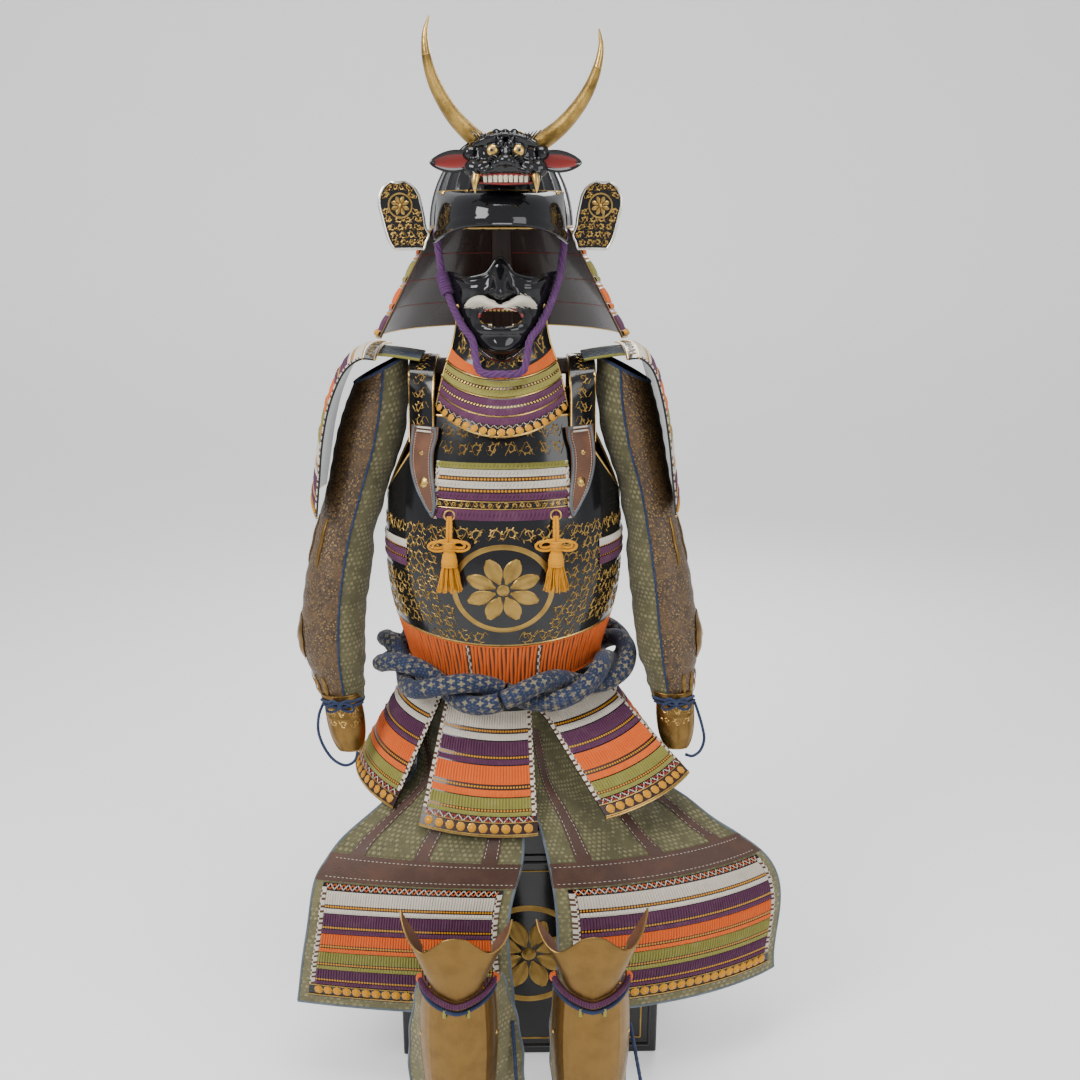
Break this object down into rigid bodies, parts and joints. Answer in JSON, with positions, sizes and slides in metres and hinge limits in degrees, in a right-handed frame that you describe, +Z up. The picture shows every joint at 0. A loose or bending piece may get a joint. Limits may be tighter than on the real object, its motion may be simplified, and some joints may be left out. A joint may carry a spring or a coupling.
{
  "type": "samurai armour on armour stand and chest",
  "caption": "Laced samurai armour with horned helmet, face mask, sleeves and leg guards, set up on a wooden stand and its black lacquered chest.",
  "frame": {"origin": "on the floor under the middle of the worn suit, on the chest's underside", "axes": "+Z up, -Y the way the wearer faces, +X to the viewer's right"},
  "size_m": [0.8481, 0.7397, 1.7484],
  "materials": {
    "chest_lacquer": "black lacquer on wood, glossy",
    "wood": "dark stained wood, satin",
    "black_lacquer": "black lacquer on iron and leather, glossy, with gold ornament",
    "gilt_iron": "bronze gold, satin",
    "gilt_copper": "gilt, stippled",
    "silk_lacing": "silk lacing in white, purple, orange and green over lacquered plates",
    "orange_cord": "braided silk",
    "yellow_silk": "silk floss",
    "purple_cord": "braided silk",
    "brocade": "green and gold brocade",
    "indigo_cloth": "blue brocade",
    "leather": "brown leather with a stitched border",
    "hair": "cream horsehair"
  },
  "bodies": {
    "root": {"chest_body": "chest_lacquer", "chest_lid": "chest_lacquer", "chin_cord": "purple_cord", "crest_head": "black_lacquer", "cuirass_back": "black_lacquer", "cuirass_front": "black_lacquer", "face_mask": "black_lacquer", "hand_guard_left": "gilt_iron", "hand_guard_right": "gilt_iron", "helmet_bowl": "black_lacquer", "helmet_visor": "black_lacquer", "horn_left": "gilt_copper", "horn_right": "gilt_copper", "knee_plate_left": "gilt_iron", "knee_plate_right": "gilt_iron", "leather_guard_left": "leather", "leather_guard_right": "leather", "leg_tie_left": "indigo_cloth", "leg_tie_right": "indigo_cloth", "moustache": "hair", "neck_lame_1": "silk_lacing", "neck_lame_2": "silk_lacing", "neck_lame_3": "silk_lacing", "neck_lame_4": "silk_lacing", "neck_wing_left": "brocade", "neck_wing_right": "brocade", "sash_roll_a": "indigo_cloth", "sash_roll_b": "indigo_cloth", "shin_cloth_left": "brocade", "shin_cloth_right": "brocade", "shin_plate_left": "gilt_iron", "shin_plate_right": "gilt_iron", "shoulder_guard_left": "silk_lacing", "shoulder_guard_right": "silk_lacing", "sleeve_left": "brocade", "sleeve_right": "brocade", "stand": "wood", "strap_left": "black_lacquer", "strap_right": "black_lacquer", "tassel_left": "yellow_silk", "tassel_right": "yellow_silk", "tasset_front": "silk_lacing", "tasset_left": "silk_lacing", "tasset_rear": "silk_lacing", "tasset_right": "silk_lacing", "tasset_side_left": "silk_lacing", "tasset_side_right": "silk_lacing", "thigh_board_left": "silk_lacing", "thigh_board_right": "silk_lacing", "thigh_cloth_left": "brocade", "thigh_cloth_right": "brocade", "throat_lame_1": "silk_lacing", "throat_lame_2": "silk_lacing", "throat_lame_3": "silk_lacing", "throat_lame_4": "silk_lacing", "turnback_left": "black_lacquer", "turnback_right": "black_lacquer", "waist_lacing": "orange_cord", "wrist_tie_left": "indigo_cloth", "wrist_tie_right": "indigo_cloth"}
  },
  "joints": []
}
